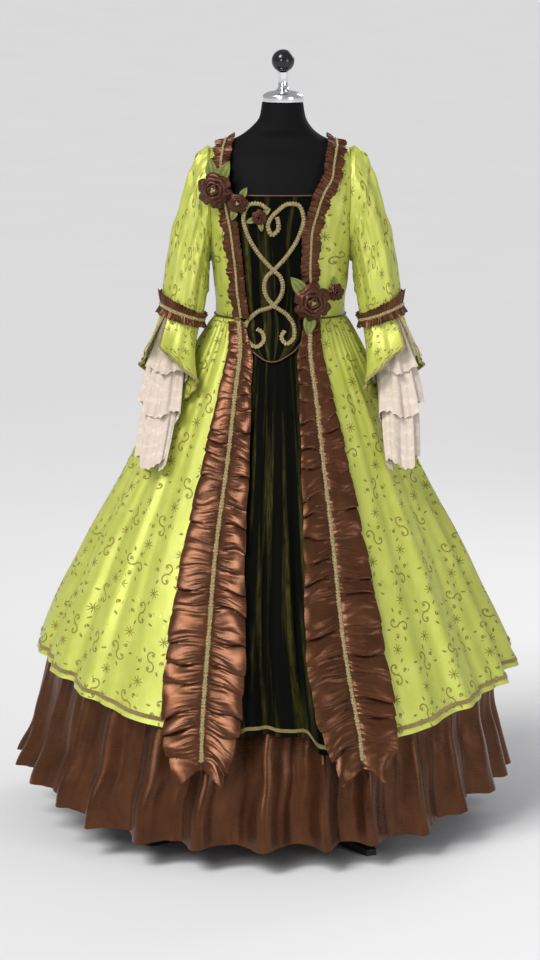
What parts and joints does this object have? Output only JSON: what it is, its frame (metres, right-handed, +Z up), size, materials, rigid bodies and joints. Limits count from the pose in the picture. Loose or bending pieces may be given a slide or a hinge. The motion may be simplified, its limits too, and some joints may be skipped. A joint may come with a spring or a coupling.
{
  "type": "ball gown on a dress form",
  "caption": "Historic-costume ball gown of green brocade, dark velvet and brown satin ruffles with lace at the elbows, on a limbless black dress form with a pole stand.",
  "frame": {"origin": "centre of the box at floor level, under the gown", "axes": "+Z up, the front of the gown faces -Y, +X is the viewer's right in the picture"},
  "size_m": [1.1239, 1.0952, 1.7099],
  "materials": {
    "form_black": "matte black stretch cloth over the form",
    "stand_metal": "polished",
    "knob_black": "gloss black",
    "foot_black": "black paint",
    "brocade_green": "satin-ground brocade with olive-brown scroll motifs",
    "velvet_green": "crushed dark-green velvet",
    "satin_brown": "glossy brown satin",
    "lace_cream": "cream floral lace",
    "braid_gold": "pale gold braid"
  },
  "bodies": {
    "root": {"stand": "foot_black", "form_torso": "form_black", "neck_cap": "stand_metal", "finial": "knob_black", "bodice_front_left": "brocade_green", "bodice_front_right": "brocade_green", "bodice_back_left": "brocade_green", "bodice_back_right": "brocade_green", "stomacher": "velvet_green", "overskirt": "brocade_green", "velvet_panel": "velvet_green", "underskirt": "satin_brown", "skirt_ruffle_left": "satin_brown", "skirt_ruffle_right": "satin_brown", "neck_ruffle_left": "satin_brown", "neck_ruffle_right": "satin_brown", "sleeve_left": "brocade_green", "sleeve_right": "brocade_green", "cuff_ruffle_left": "satin_brown", "cuff_ruffle_right": "satin_brown", "sleeve_flounce_left": "brocade_green", "sleeve_flounce_right": "brocade_green", "lace_left": "lace_cream", "lace_right": "lace_cream", "rose_shoulder_large": "satin_brown", "rose_shoulder_middle": "satin_brown", "rose_shoulder_small": "satin_brown", "rose_waist_large": "satin_brown", "rose_waist_small": "satin_brown", "scroll_braid": "braid_gold"}
  },
  "joints": []
}
